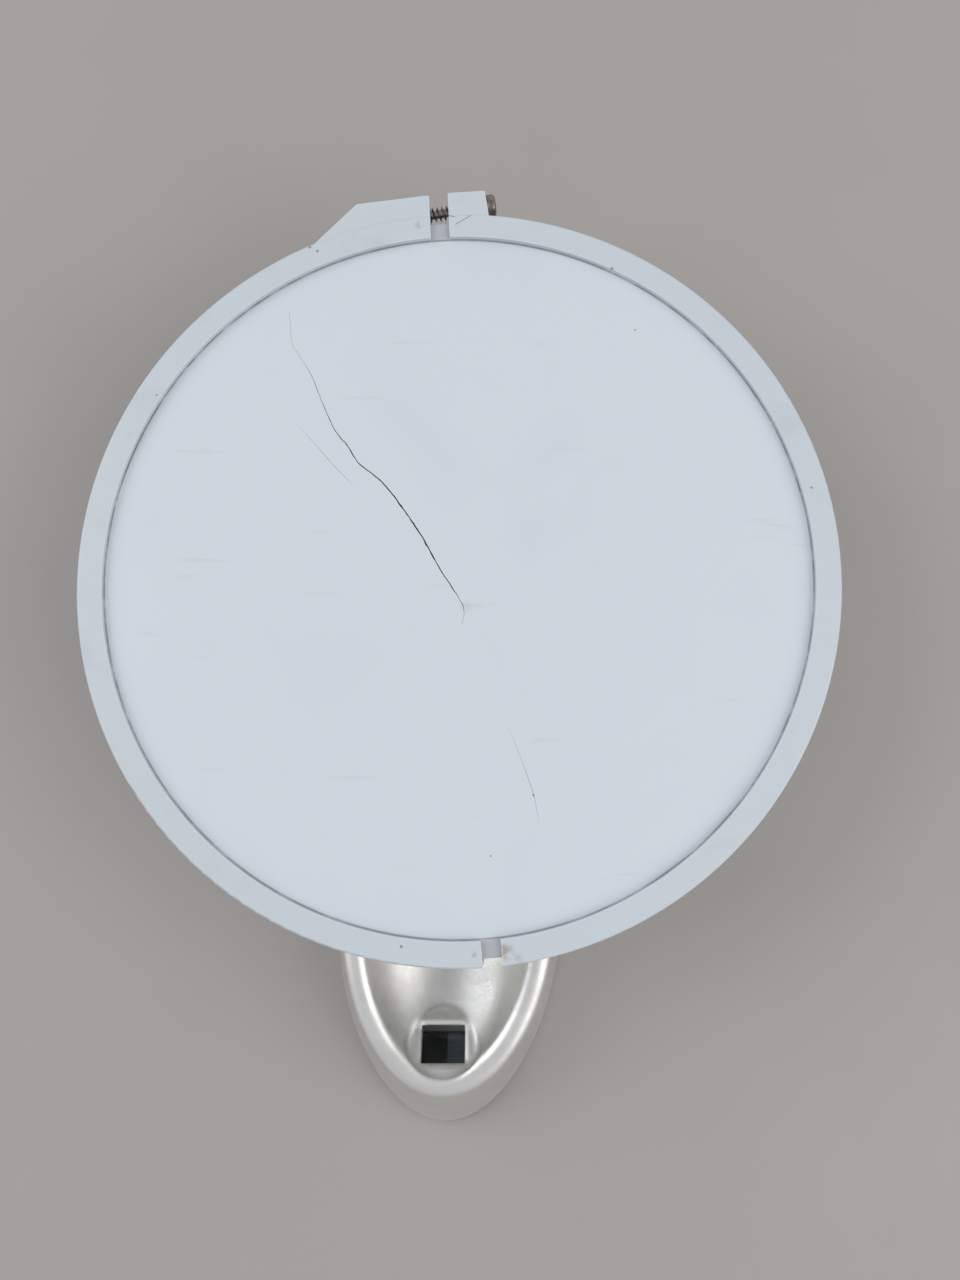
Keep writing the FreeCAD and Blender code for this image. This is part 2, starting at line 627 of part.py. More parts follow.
def base_casting():
    drum = ring(DRUM_INNER, DRUM_RADIUS, BASE_CLEARANCE, CURB_TOP)
    drum = drum.makeFillet(1.2, edges_at(drum, lambda p, e: p.z > CURB_TOP - 0.01))
    deck = disc(DRUM_INNER + 1, DECK_BOTTOM, DECK_TOP)
    pod = pod_shell().cut(disc(DRUM_INNER, 0, CURB_TOP + 10))
    shell = joined([drum, pod]).cut(pod_cavity())
    shell = shell.fuse([deck] + cell_rails() + casting_posts())
    shell = shell.cut(disc(DRUM_INNER, -1, PLATE_TOP))
    ears = []
    for x, y in holder_post_places():
        ears.append(tilted(disc(3.2, HOLDER_BOTTOM, -BOSS_DEPTH + 1, x, y)))
    shell = shell.fuse(ears)
    window = tilted(centred_block(WINDOW_WIDTH, WINDOW_LENGTH, -BOSS_DEPTH - 1, 5))
    pocket = tilted(centred_block(DISPLAY_SIZE + 3.0, DISPLAY_SIZE + 3.0, HOLDER_BOTTOM - 4, -BOSS_DEPTH))
    holder_holes = [tilted(disc(HOLDER_SCREW_RADIUS, HOLDER_BOTTOM - 1, -BOSS_DEPTH - 0.5, x, y))
                    for x, y in holder_post_places()]
    cell_holes = [disc(CELL_SCREW_RADIUS, DECK_BOTTOM - 1, CELL_BOTTOM + 1, p.x, p.y)
                  for p in cell_screw_places()]
    stop_holes = [disc(STOP_RADIUS, DECK_BOTTOM - 1, DECK_TOP + 1, p.x, p.y) for p in stop_places()]
    lead_hole = disc(8.0, DECK_BOTTOM - 1, DECK_TOP + 1)
    return shell.cut([window, pocket, lead_hole] + holder_holes + cell_holes + stop_holes + post_holes())


def stop_places():
    return [polar(STOP_DISTANCE, angle) for angle in STOP_ANGLES]


def overload_stops():
    top = PAN_BOTTOM - STOP_CLEARANCE
    return Part.makeCompound([disc(STOP_RADIUS, DECK_BOTTOM, top, p.x, p.y) for p in stop_places()])


# ---------------------------------------------------------------- load cells
def load_cell_frame(angle):
    outer = centred_block(CELL_SIZE, CELL_SIZE, CELL_BOTTOM, CELL_TOP, CELL_RADIUS, 0)
    opening = centred_block(CELL_OPENING + 4, CELL_OPENING, CELL_BOTTOM - 1, CELL_TOP + 1, CELL_RADIUS, 0)
    frame = turned(outer.cut(opening), angle)
    holes = [disc(CELL_SCREW_RADIUS, CELL_BOTTOM - 1, CELL_TOP + 1, p.x, p.y) for p in cell_screw_places()]
    return frame.cut(holes)


def load_cell_beam(angle):
    """The bending beam with its gauge pad, cut free of the frame so that it can go down."""
    start = CELL_RADIUS - CELL_OPENING / 2 - 2 + CELL_SLOT
    beam = block(start, CELL_RADIUS + 3, -CELL_BEAM_WIDTH / 2, CELL_BEAM_WIDTH / 2, CELL_BOTTOM, CELL_TOP)
    pad = disc(BUTTON_RADIUS + 1.5, CELL_BOTTOM, CELL_TOP, CELL_RADIUS, 0)
    gauge = centred_block(4, 5, CELL_TOP, CELL_TOP + 0.4, start + 3, 0)
    return turned(joined([beam, pad, gauge]), angle)


def load_button(angle):
    button = disc(BUTTON_RADIUS, CELL_TOP, PAN_BOTTOM, CELL_RADIUS, 0)
    return turned(button, angle)


def load_cell_screws():
    screws = []
    for place in cell_screw_places():
        shank = disc(CELL_SCREW_RADIUS, DECK_BOTTOM, CELL_TOP, place.x, place.y)
        head = disc(CELL_SCREW_RADIUS * 1.9, CELL_TOP, CELL_TOP + 1.8, place.x, place.y)
        screws.append(joined([shank, head]))
    return Part.makeCompound(screws)


# ---------------------------------------------------------------- display
def display_lens():
    return tilted(centred_block(DISPLAY_SIZE, DISPLAY_SIZE, MASK_TOP, LENS_TOP))


def display_mask():
    plate = centred_block(DISPLAY_SIZE, DISPLAY_SIZE, GLASS_TOP, MASK_TOP)
    aperture = block(MASK_EDGE, DISPLAY_SIZE / 2 - 0.6, -DISPLAY_SIZE / 2 + 1, DISPLAY_SIZE / 2 - 1,
                     GLASS_TOP - 1, MASK_TOP + 1)
    return tilted(plate.cut(aperture))


def display_glass():
    bottom = GLASS_TOP - GLASS_THICKNESS
    return tilted(block(MASK_EDGE - 1, DISPLAY_SIZE / 2, -DISPLAY_SIZE / 2 + 0.5, DISPLAY_SIZE / 2 - 0.5,
                        bottom, GLASS_TOP))


def display_holder():
    """A frame round the lens, mask and glass, with an ear for a screw on each side."""
    outer = centred_block(DISPLAY_SIZE + 2.4, DISPLAY_SIZE + 2.4, HOLDER_BOTTOM, LENS_TOP)
    inner = centred_block(DISPLAY_SIZE, DISPLAY_SIZE, HOLDER_BOTTOM - 1, LENS_TOP + 1)
    ears = [disc(3.2, HOLDER_BOTTOM - 1.6, HOLDER_BOTTOM, x, y) for x, y in holder_post_places()]
    bridges = [centred_block(4.0, 5.0, HOLDER_BOTTOM - 1.6, HOLDER_BOTTOM, x * 0.8, y)
               for x, y in holder_post_places()]
    posts = [disc(3.4, HOLDER_BOTTOM, LENS_TOP + 1, x, y) for x, y in holder_post_places()]
    rim = centred_block(DISPLAY_SIZE + 2.4, DISPLAY_SIZE + 2.4, HOLDER_BOTTOM - 1.6, HOLDER_BOTTOM)
    frame = joined([outer.cut(inner).cut(posts), rim.cut(inner)] + ears + bridges)
    holes = [disc(HOLDER_SCREW_RADIUS, HOLDER_BOTTOM - 3, HOLDER_BOTTOM + 1, x, y)
             for x, y in holder_post_places()]
    board_space = centred_block(DISPLAY_SIZE, DISPLAY_SIZE, HOLDER_BOTTOM - 3, HOLDER_BOTTOM)
    return tilted(frame.cut(holes + [board_space]))


def display_board():
    bottom = DISPLAY_BOARD_TOP - DISPLAY_BOARD_THICKNESS
    board = centred_block(DISPLAY_SIZE - 0.6, DISPLAY_SIZE - 0.6, bottom, DISPLAY_BOARD_TOP)
    socket = centred_block(9, 4, bottom - 2.0, bottom, 0, 5)
    return tilted(joined([board, socket]))


def display_screws():
    screws = []
    low = HOLDER_BOTTOM - 1.6
    for x, y in holder_post_places():
        shank = disc(HOLDER_SCREW_RADIUS, low, -BOSS_DEPTH - 0.5, x, y)
        head = disc(2.4, low - 1.4, low, x, y)
        screws.append(tilted(joined([shank, head])))
    return Part.makeCompound(screws)


# ---------------------------------------------------------------- bottom cover and feet
def bottom_outline(low, high):
    """Everything inside the casting's wall, as a plate."""
    round_part = disc(DRUM_INNER - COVER_PLATE_GAP, low, high)
    slab = centred_block(4 * BAND_RADIUS, 4 * BAND_RADIUS, low, high)
    nose = pod_blank(CASTING_WALL + COVER_PLATE_GAP).common(slab)
    return joined([round_part, nose])


def hatch_half_width():
    return TRAY_INNER_WIDTH / 2


def hinge_rod(radius, length):
    """A cylinder on the hatch's hinge axis, centred on the middle of the hatch."""
    return Part.makeCylinder(radius, length, Vector(-length / 2, HINGE_Y, HINGE_Z), ALONG_X)


def bottom_cover():
    plate = bottom_outline(PLATE_BOTTOM, PLATE_TOP)
    opening = block(-hatch_half_width(), hatch_half_width(), HINGE_Y - 3.2, HATCH_BACK, 0, PLATE_TOP + 1)
    plate = plate.cut(opening)
    ears = []
    for side in (-1, 1):
        x = side * (HINGE_WIDTH / 2 + 3.5)
        ear = block(x - 2, x + 2, HINGE_Y - 5.0, HINGE_Y + EAR_REACH, PLATE_BOTTOM, HINGE_Z + KNUCKLE_RADIUS)
        ears.append(ear)
    plate = joined([plate] + ears)
    pin_bore = hinge_rod(HINGE_PIN_RADIUS, HINGE_WIDTH + HINGE_PIN_SPARE + 1)
    holes = [disc(COVER_SCREW_RADIUS, 0, PLATE_TOP + 1, p.x, p.y) for p in cover_post_places()]
    holes += [disc(FOOT_STEM_RADIUS, 0, PLATE_TOP + 1, x, y) for x, y in FOOT_PLACES.values()]
    holes += [disc(BOARD_SCREW_RADIUS + 0.2, 0, PLATE_TOP + 1, p.x, p.y) for p in tray_screw_places()]
    holes.append(disc(KEY_RADIUS + 0.3, 0, PLATE_TOP + 1, SWITCH_X, SWITCH_Y))
    return plate.cut([pin_bore] + holes)


def cover_screws():
    screws = []
    for place in cover_post_places():
        shank = disc(COVER_SCREW_RADIUS, PLATE_BOTTOM, 15.0, place.x, place.y)
        head = disc(COVER_SCREW_RADIUS * 1.9, PLATE_BOTTOM - 1.8, PLATE_BOTTOM, place.x, place.y)
        screws.append(joined([shank, head]))
    return Part.makeCompound(screws)


def foot_pad(x, y):
    pad = disc(FOOT_RADIUS, 0, PLATE_BOTTOM, x, y)
    pad = pad.makeFillet(0.8, edges_at(pad, lambda p, e: p.z < 0.01))
    stem = disc(FOOT_STEM_RADIUS, PLATE_BOTTOM, PLATE_TOP, x, y)
    barb = Part.makeCone(FOOT_STEM_RADIUS + 0.9, FOOT_STEM_RADIUS - 1, 2.5, Vector(x, y, PLATE_TOP))
    return joined([pad, stem, barb])


# ---------------------------------------------------------------- battery compartment
def tray_screw_places():
    x = TRAY_INNER_WIDTH / 2 + TRAY_WALL + 4.0
    return [Vector(-x, TRAY_CENTRE_Y, 0), Vector(x, TRAY_CENTRE_Y, 0)]


def battery_tray():
    width = TRAY_INNER_WIDTH + 2 * TRAY_WALL
    length = TRAY_INNER_LENGTH + 2 * TRAY_WALL
    outer = centred_block(width, length, PLATE_TOP, TRAY_TOP, 0, TRAY_CENTRE_Y)
    inner = centred_block(TRAY_INNER_WIDTH, TRAY_INNER_LENGTH, PLATE_TOP - 1, TRAY_TOP - TRAY_WALL,
                          0, TRAY_CENTRE_Y)
    flanges = [disc(4.0, PLATE_TOP, PLATE_TOP + 2, p.x, p.y) for p in tray_screw_places()]
    flanges += [centred_block(4.5, 8, PLATE_TOP, PLATE_TOP + 2, p.x * 0.95, p.y) for p in tray_screw_places()]
    tray = joined([outer] + flanges).cut(inner)
    return tray.cut([disc(BOARD_SCREW_RADIUS, 0, 20, p.x, p.y) for p in tray_screw_places()])


def tray_screws():
    screws = []
    for place in tray_screw_places():
        shank = disc(BOARD_SCREW_RADIUS, PLATE_BOTTOM, PLATE_TOP + 2, place.x, place.y)
        head = disc(2.6, PLATE_TOP + 2, PLATE_TOP + 3.5, place.x, place.y)
        screws.append(joined([shank, head]))
    return Part.makeCompound(screws)


def battery_places():
    first = -(BATTERY_COUNT - 1) / 2 * BATTERY_PITCH
    return [first + number * BATTERY_PITCH for number in range(BATTERY_COUNT)]


def battery(number):
    """One cell lying along Y, turned end for end from its neighbour."""
    x = battery_places()[number]
    body = Part.makeCylinder(BATTERY_RADIUS, BATTERY_LENGTH - 1.2, Vector(), Vector(0, 1, 0))
    body = body.makeFillet(0.6, body.Edges[:1] + body.Edges[2:])
    knob = Part.makeCylinder(2.7, 1.2, Vector(0, BATTERY_LENGTH - 1.2, 0), Vector(0, 1, 0))
    cell = joined([body, knob])
    start = TRAY_CENTRE_Y - TRAY_INNER_LENGTH / 2 + CONTACT_THICKNESS + 0.3
    if number % 2:
        cell.rotate(Vector(0, BATTERY_LENGTH / 2, 0), UP, 180)
        return shifted(cell, x, start, BATTERY_LEVEL)
    return shifted(cell, x, start + SPRING_LENGTH, BATTERY_LEVEL)


def battery_springs():
    """A coil behind each cell's flat end."""
    springs = []
    front = TRAY_CENTRE_Y - TRAY_INNER_LENGTH / 2 + CONTACT_THICKNESS
    back = TRAY_CENTRE_Y + TRAY_INNER_LENGTH / 2 - CONTACT_THICKNESS
    for number, x in enumerate(battery_places()):
        spring = coil(3.6, 0.4, 1.5, SPRING_LENGTH - 0.1)
        if number % 2:
            spring.rotate(Vector(), ALONG_X, 90)
            springs.append(shifted(spring, x, back, BATTERY_LEVEL))
        else:
            spring.rotate(Vector(), ALONG_X, -90)
            springs.append(shifted(spring, x, front, BATTERY_LEVEL))
    return Part.makeCompound(springs)


def battery_contacts():
    """Sheet contacts that join the cells in series: two pairs behind, one pair and two ends in front."""
    half = BATTERY_PITCH * BATTERY_COUNT / 2
    low, high = BATTERY_LEVEL - 5, BATTERY_LEVEL + 6
    back = TRAY_CENTRE_Y + TRAY_INNER_LENGTH / 2
    front = TRAY_CENTRE_Y - TRAY_INNER_LENGTH / 2
    plates = []
    for left, right in ((-half + 1, -1), (1, half - 1)):
        plates.append(block(left, right, back - CONTACT_THICKNESS, back, low, high))
    pitch = BATTERY_PITCH
    for left, right in ((-half + 1, -pitch - 1), (-pitch + 1, pitch - 1), (pitch + 1, half - 1)):
        plates.append(block(left, right, front, front + CONTACT_THICKNESS, low, high))
    return Part.makeCompound(plates)


def battery_hatch():
    """A plate hinged at its front edge, with a knuckle round the pin and a finger notch at the back."""
    half = hatch_half_width() - HATCH_GAP
    plate = block(-half, half, HINGE_Y + HATCH_EDGE, HATCH_BACK - HATCH_GAP, PLATE_BOTTOM, PLATE_TOP)
    neck = block(-HINGE_WIDTH / 2, HINGE_WIDTH / 2, HINGE_Y + 1.0, HINGE_Y + HATCH_EDGE + 0.4,
                 PLATE_BOTTOM, PLATE_TOP)
    knuckle = hinge_rod(KNUCKLE_RADIUS, HINGE_WIDTH)
    notch = Part.makeCylinder(9.0, 1.2, Vector(0, HATCH_BACK - 2, PLATE_BOTTOM - 0.01))
    ribs = [centred_block(1.2, 44.0, PLATE_TOP, PLATE_TOP + 1.0, x, TRAY_CENTRE_Y) for x in battery_places()]
    hatch = joined([plate, neck, knuckle] + ribs).cut(notch)
    return hatch.cut(hinge_rod(HINGE_PIN_RADIUS + RUNNING_GAP, HINGE_WIDTH + 2))


def hatch_hinge_pin():
    return hinge_rod(HINGE_PIN_RADIUS, HINGE_WIDTH + HINGE_PIN_SPARE)


# ---------------------------------------------------------------- electronics and unit button
def main_board():
    board = centred_block(BOARD_LENGTH, BOARD_WIDTH, BOARD_HEIGHT, BOARD_HEIGHT + BOARD_THICKNESS,
                          0, BOARD_CENTRE_Y)
    holes = [disc(BOARD_SCREW_RADIUS, 0, 30, p.x, p.y) for p in board_post_places()]
    return board.cut(holes)


def controller_chip():
    bottom = BOARD_HEIGHT + BOARD_THICKNESS
    body = centred_block(14, 14, bottom + 0.2, bottom + 1.8, -10, BOARD_CENTRE_Y)
    legs = [centred_block(0.4, 17, bottom, bottom + 0.4, -10 + offset, BOARD_CENTRE_Y)
            for offset in (-5, -3, -1, 1, 3, 5)]
    return joined([body] + legs)


def board_sockets():
    bottom = BOARD_HEIGHT + BOARD_THICKNESS
    sockets = [centred_block(10, 5, bottom, bottom + 6, 12, BOARD_CENTRE_Y - 13)]
    for x in (-26, -14, 14, 26):
        sockets.append(centred_block(7, 4.5, bottom, bottom + 5, x, BOARD_CENTRE_Y + 14))
    return Part.makeCompound(sockets)


def board_screws():
    screws = []
    for place in board_post_places():
        shank = disc(BOARD_SCREW_RADIUS, BOARD_HEIGHT, BOARD_HEIGHT + BOARD_THICKNESS + 7, place.x, place.y)
        head = disc(2.6, BOARD_HEIGHT - 1.5, BOARD_HEIGHT, place.x, place.y)
        screws.append(joined([shank, head]))
    return Part.makeCompound(screws)


def unit_switch():
    body = centred_block(6, 6, BOARD_HEIGHT - 3.4, BOARD_HEIGHT, SWITCH_X, SWITCH_Y)
    nub = disc(1.6, BOARD_HEIGHT - 4.1, BOARD_HEIGHT - 3.4, SWITCH_X, SWITCH_Y)
    return joined([body, nub])


def key_top():
    return BOARD_HEIGHT - 4.1 - KEY_TRAVEL - 0.1


def unit_button():
    cap = disc(KEY_RADIUS, PLATE_BOTTOM - 1.2, PLATE_TOP + 0.2, SWITCH_X, SWITCH_Y)
    cap = cap.makeFillet(0.6, edges_at(cap, lambda p, e: p.z < PLATE_BOTTOM - 1.1))
    flange = disc(KEY_RADIUS + 1.8, PLATE_TOP + 0.2, PLATE_TOP + 1.2, SWITCH_X, SWITCH_Y)
    stem = disc(1.6, PLATE_TOP + 1.2, key_top(), SWITCH_X, SWITCH_Y)
    return joined([cap, flange, stem])


def unit_button_spring():
    low = PLATE_TOP + 1.2
    spring = coil(5.0, 0.35, 1.6, BOARD_HEIGHT - low)
    return shifted(spring, SWITCH_X, SWITCH_Y, low)


def cell_leads():
    """One lead from each load cell over the deck, through its middle hole and down to the board."""
    leads = []
    socket_x = {45.0: 26, 135.0: -26, 225.0: -14, 315.0: 14}
    for angle in CELL_ANGLES:
        start = polar(CELL_RADIUS - CELL_SIZE / 2 - 1.5, angle, CELL_BOTTOM + LEAD_RADIUS)
        run = [polar(radius, angle, DECK_TOP + LEAD_RADIUS + 1.2) for radius in (56.0, 44.0, 32.0, 20.0)]
        crest = polar(11.0, angle, DECK_TOP + LEAD_RADIUS + 1.8)
        edge = polar(4.5, angle, DECK_TOP + 0.5)
        below = polar(3.5, angle, DECK_BOTTOM - 5.0)
        end = Vector(socket_x[angle], BOARD_CENTRE_Y + 14, BOARD_HEIGHT + BOARD_THICKNESS + 5.2)
        middle = Vector((below.x + end.x) / 2, (below.y + end.y) / 2, DECK_BOTTOM - 10.0)
        above = end + Vector(0, 0, 5.0)
        leads.append(lead([start] + run + [crest, edge, below, middle, above, end], LEAD_RADIUS))
    return Part.makeCompound(leads)


def display_lead():
    """Flat ribbon from the main board's front socket along the pod's floor to the display board."""
    start = Vector(12, BOARD_CENTRE_Y - 13, BOARD_HEIGHT + BOARD_THICKNESS + 6.1)
    low = PLATE_TOP + 1.6
    points = [start, start + Vector(0, 0, 3.0), Vector(10, BOARD_CENTRE_Y - 24, 24.5), Vector(4, -110, low),
              Vector(0, -150, low), Vector(0, -170, 9.0)]
    return lead(points, 1.3)


# ---------------------------------------------------------------- every piece by name
def all_pieces():
    pieces = {
        "base_casting": base_casting(),
        "bottom_cover": bottom_cover(),
        "platform_pan": platform_pan(),
        "platform_seal": platform_seal(),
        "platform_cover": platform_cover(),
        "clamp_band_left": clamp_band_left(),
        "clamp_band_right": clamp_band_right(),
        "clamp_screw": clamp_screw(),
        "joining_strap": joining_strap(),
        "strap_pin_left": strap_pin(-1),
        "strap_pin_right": strap_pin(1),
        "overload_stops": overload_stops(),
        "load_cell_screws": load_cell_screws(),
        "cover_screws": cover_screws(),
        "board_screws": board_screws(),
        "display_screws": display_screws(),
        "tray_screws": tray_screws(),
        "display_lens": display_lens(),
        "display_mask": display_mask(),
        "display_glass": display_glass(),
        "display_holder": display_holder(),
        "display_board": display_board(),
        "display_lead": display_lead(),
        "main_board": main_board(),
        "controller_chip": controller_chip(),
        "board_sockets": board_sockets(),
        "cell_leads": cell_leads(),
        "unit_switch": unit_switch(),
        "unit_button": unit_button(),
        "unit_button_spring": unit_button_spring(),
        "battery_tray": battery_tray(),
        "battery_springs": battery_springs(),
        "battery_contacts": battery_contacts(),
        "battery_hatch": battery_hatch(),
        "hatch_hinge_pin": hatch_hinge_pin(),
    }
    for number, angle in enumerate(CELL_ANGLES, start=1):
        pieces[f"load_cell_frame_{number}"] = load_cell_frame(angle)
        pieces[f"load_cell_beam_{number}"] = load_cell_beam(angle)
        pieces[f"load_button_{number}"] = load_button(angle)
    for number in range(BATTERY_COUNT):
        pieces[f"battery_{number + 1}"] = battery(number)
    for name, (x, y) in FOOT_PLACES.items():
        pieces[name] = foot_pad(x, y)
    return pieces


def footprint_middle(pieces):
    """The middle of the whole object's box, at its lowest height."""
    box = FreeCAD.BoundBox()
    for shape in pieces.values():
        box.add(shape.optimalBoundingBox())
    return Vector(box.Center.x, box.Center.y, box.ZMin)


def main():
    os.makedirs("parts", exist_ok=True)
    pieces = all_pieces()
    middle = footprint_middle(pieces)
    for name, shape in pieces.items():
        shape.translate(middle * -1)
        shape.exportStep(f"parts/{name}.step")
    return middle


ORIGIN = main()
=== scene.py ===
import json
import math
import bpy
import bmesh
from mathutils import Matrix, Vector, noise


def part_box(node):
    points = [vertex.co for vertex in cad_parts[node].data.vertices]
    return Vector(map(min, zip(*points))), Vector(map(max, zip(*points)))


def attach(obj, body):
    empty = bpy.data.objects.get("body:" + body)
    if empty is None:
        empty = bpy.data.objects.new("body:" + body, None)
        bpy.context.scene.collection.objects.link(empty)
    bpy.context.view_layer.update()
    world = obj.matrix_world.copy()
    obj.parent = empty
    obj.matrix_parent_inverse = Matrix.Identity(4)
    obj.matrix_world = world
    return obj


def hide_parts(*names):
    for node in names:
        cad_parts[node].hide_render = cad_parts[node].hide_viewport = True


# Round white bathroom scale: finishes, the cracked platform cover, the light and the camera,
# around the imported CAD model. Everything is in metres. +Z is up and -Y is towards the readout pod.

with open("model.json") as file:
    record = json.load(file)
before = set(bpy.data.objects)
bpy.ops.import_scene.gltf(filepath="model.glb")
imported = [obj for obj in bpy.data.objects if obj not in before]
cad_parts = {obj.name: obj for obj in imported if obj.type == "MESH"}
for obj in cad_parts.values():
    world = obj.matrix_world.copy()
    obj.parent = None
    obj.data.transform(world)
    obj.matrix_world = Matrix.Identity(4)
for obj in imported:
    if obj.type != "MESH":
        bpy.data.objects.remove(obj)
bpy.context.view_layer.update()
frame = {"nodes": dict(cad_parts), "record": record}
RECORD = frame["record"]
NODES = frame["nodes"]

MM = 0.001

COVER_LOW, COVER_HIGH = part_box("platform_cover")
MIDDLE = (COVER_LOW + COVER_HIGH) / 2
COVER_TOP = COVER_HIGH.z
FIELD_LEVEL = COVER_TOP - 0.5 * MM      # the open field lies this low inside the cover's border
FIELD_RADIUS = 130.45 * MM
BAND_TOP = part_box("clamp_band_left")[1].z


def on_top(x, y, level):
    """A point x and y millimetres from the platform's middle, at a level in metres."""
    return Vector((MIDDLE.x + x * MM, MIDDLE.y + y * MM, level))


# ---------------------------------------------------------------- marks on the real object
# Millimetres from the platform's middle, +y towards the clamp screw.
CRACK = [(-68, 100), (-66, 87), (-64, 84), (-58, 75), (-53, 64), (-48, 54), (-43, 48), (-38, 41),
         (-32.5, 37), (-27, 32), (-19, 22), (-12, 12), (-6, 2), (3, -11.5), (3, -18.5)]
CRACK_WIDTH = 0.62
LEFT_HAIRLINE = [(-62.5, 55.5), (-55, 48), (-47, 39.5), (-39, 32)]
FRONT_HAIRLINE = [(21, -54.5), (26, -66), (31, -79), (33.5, -89.5)]
HAIRLINE_WIDTH = 0.16
CRACK_DEPTH = 2.2
HAIRLINE_DEPTH = 0.5
CRACK_STEP = 1.3 * MM                  # between points along a crack
CRACK_WIDEST = 0.66                    # share of its length at which the crack is widest
HAIRLINE_WIDEST = 0.6
COVER_SPECKS = [(64, 96, 0.5), (16.5, -101, 0.45), (31, -79, 0.5)]
CRACK_RUST = (4.5, -12)
BAND_NICKS = [(-13.5, -133, 0.7), (-115.5, 64.5, 0.5), (54.5, 119, 0.8), (129, 36, 0.6),
              (-61, 125, 0.8), (-58, 123.5, 0.7)]
BAND_STAINS = [(22.5, -133, 4.4, 0.75), (27, -135.5, 3.0, 0.45), (12, -134.5, 1.6, 0.5),
               (-19.5, 135, 2.4, 0.5), (-55, 133.5, 2.6, 0.35)]
BAND_SCRATCHES = [((-8, 139), (-6, 138.6), 0.3), ((-5.5, 135.5), (0.5, 139.5), 0.22)]


# ---------------------------------------------------------------- node materials
class Finish:
    """One material's node tree, with short calls for the nodes that these finishes share."""

    def __init__(self, name, colour, roughness, metallic=0.0, **sockets):
        self.material = bpy.data.materials.new(name)
        self.material.use_nodes = True
        self.tree = self.material.node_tree
        self.shader = self.tree.nodes["Principled BSDF"]
        self.shader.inputs["Base Color"].default_value = (*colour, 1.0)
        self.shader.inputs["Roughness"].default_value = roughness
        self.shader.inputs["Metallic"].default_value = metallic
        for socket, value in sockets.items():
            self.shader.inputs[socket.replace("_", " ")].default_value = value
        self.colour = (*colour, 1.0)
        self.place = self.node("ShaderNodeTexCoord").outputs["Object"]
        self.normal = None

    def node(self, kind, **settings):
        made = self.tree.nodes.new(kind)
        for key, value in settings.items():
            setattr(made, key, value)
        return made

    def feed(self, socket, value):
        """Links an output to the socket, or sets it to a plain value."""
        if isinstance(value, bpy.types.NodeSocket):
            self.tree.links.new(value, socket)
        else:
            socket.default_value = value

    def math(self, operation, a, b=0.0):
        made = self.node("ShaderNodeMath", operation=operation, use_clamp=operation == "MULTIPLY")
        self.feed(made.inputs[0], a)
        self.feed(made.inputs[1], b)
        return made.outputs[0]

    def vector(self, operation, a, b=(0, 0, 0)):
        made = self.node("ShaderNodeVectorMath", operation=operation)
        self.feed(made.inputs[0], a)
        self.feed(made.inputs[1], b)
        single = operation in ("LENGTH", "DISTANCE", "DOT_PRODUCT")
        return made.outputs["Value" if single else "Vector"]

    def noise(self, size, detail=3.0, stretch=(1, 1, 1), distortion=0.0):
        """Soft noise from 0 to 1 whose blotches are about `size` metres across."""
        scaled = self.vector("MULTIPLY", self.place, Vector(stretch) / size)
        made = self.node("ShaderNodeTexNoise")
        made.inputs["Scale"].default_value = 1.0
        made.inputs["Detail"].default_value = detail
        made.inputs["Distortion"].default_value = distortion
        self.feed(made.inputs["Vector"], scaled)
        return made.outputs["Fac"]

    def between(self, value, low, high, start=0.0, end=1.0):
        """`start` while value is below low, `end` above high, and smooth between them."""
        made = self.node("ShaderNodeMapRange", interpolation_type="SMOOTHSTEP")
        self.feed(made.inputs["Value"], value)
        for socket, number in (("From Min", low), ("From Max", high), ("To Min", start), ("To Max", end)):
            made.inputs[socket].default_value = number
        return made.outputs["Result"]

    def most(self, masks):
        """The strongest of several masks."""
        strongest = masks[0]
        for mask in masks[1:]:
            strongest = self.math("MAXIMUM", strongest, mask)
        return strongest

    def spot(self, point, radius, softness=0.5):
        """A mask of 1 near the point, fading out at the radius."""
        distance = self.vector("DISTANCE", self.place, point)
        return self.between(distance, radius * softness, radius, 1.0, 0.0)

    def stroke(self, start, end, width):
        """A mask of 1 along a straight scratch."""
        along = end - start
        offset = self.vector("SUBTRACT", self.place, start)
        share = self.vector("DOT_PRODUCT", offset, along / along.length_squared)
        made = self.node("ShaderNodeClamp")
        self.feed(made.inputs["Value"], share)
        scaled = self.node("ShaderNodeVectorMath", operation="SCALE")
        scaled.inputs[0].default_value = along
        self.feed(scaled.inputs["Scale"], made.outputs["Result"])
        distance = self.vector("DISTANCE", offset, scaled.outputs["Vector"])
        return self.between(distance, width * 0.3, width, 1.0, 0.0)

    def edges(self, radius, low=0.01, high=0.12):
        """A mask of 1 on edges and corners sharper than the radius."""
        rounded = self.node("ShaderNodeBevel", samples=4)
        rounded.inputs["Radius"].default_value = radius
        true = self.node("ShaderNodeNewGeometry").outputs["Normal"]
        cosine = self.vector("DOT_PRODUCT", rounded.outputs["Normal"], true)
        return self.between(self.math("SUBTRACT", 1.0, cosine), low, high)

    def tint(self, mask, colour, strength=1.0):
        """Blends a colour over what the base colour is so far."""
        made = self.node("ShaderNodeMix", data_type="RGBA")
        self.feed(made.inputs[0], self.math("MULTIPLY", mask, strength))
        self.feed(made.inputs[6], self.colour)
        self.feed(made.inputs[7], (*colour, 1.0))
        self.colour = made.outputs[2]

    def rough(self, value):
        self.feed(self.shader.inputs["Roughness"], value)

    def bump(self, height, depth, strength=1.0):
        """Raises the surface by the height mask times the depth in metres."""
        made = self.node("ShaderNodeBump")
        made.inputs["Strength"].default_value = strength
        made.inputs["Distance"].default_value = depth
        self.feed(made.inputs["Height"], height)
        if self.normal is not None:
            self.feed(made.inputs["Normal"], self.normal)
        self.normal = made.outputs["Normal"]

    def done(self):
        self.feed(self.shader.inputs["Base Color"], self.colour)
        if self.normal is not None:
            self.feed(self.shader.inputs["Normal"], self.normal)
        return self.material


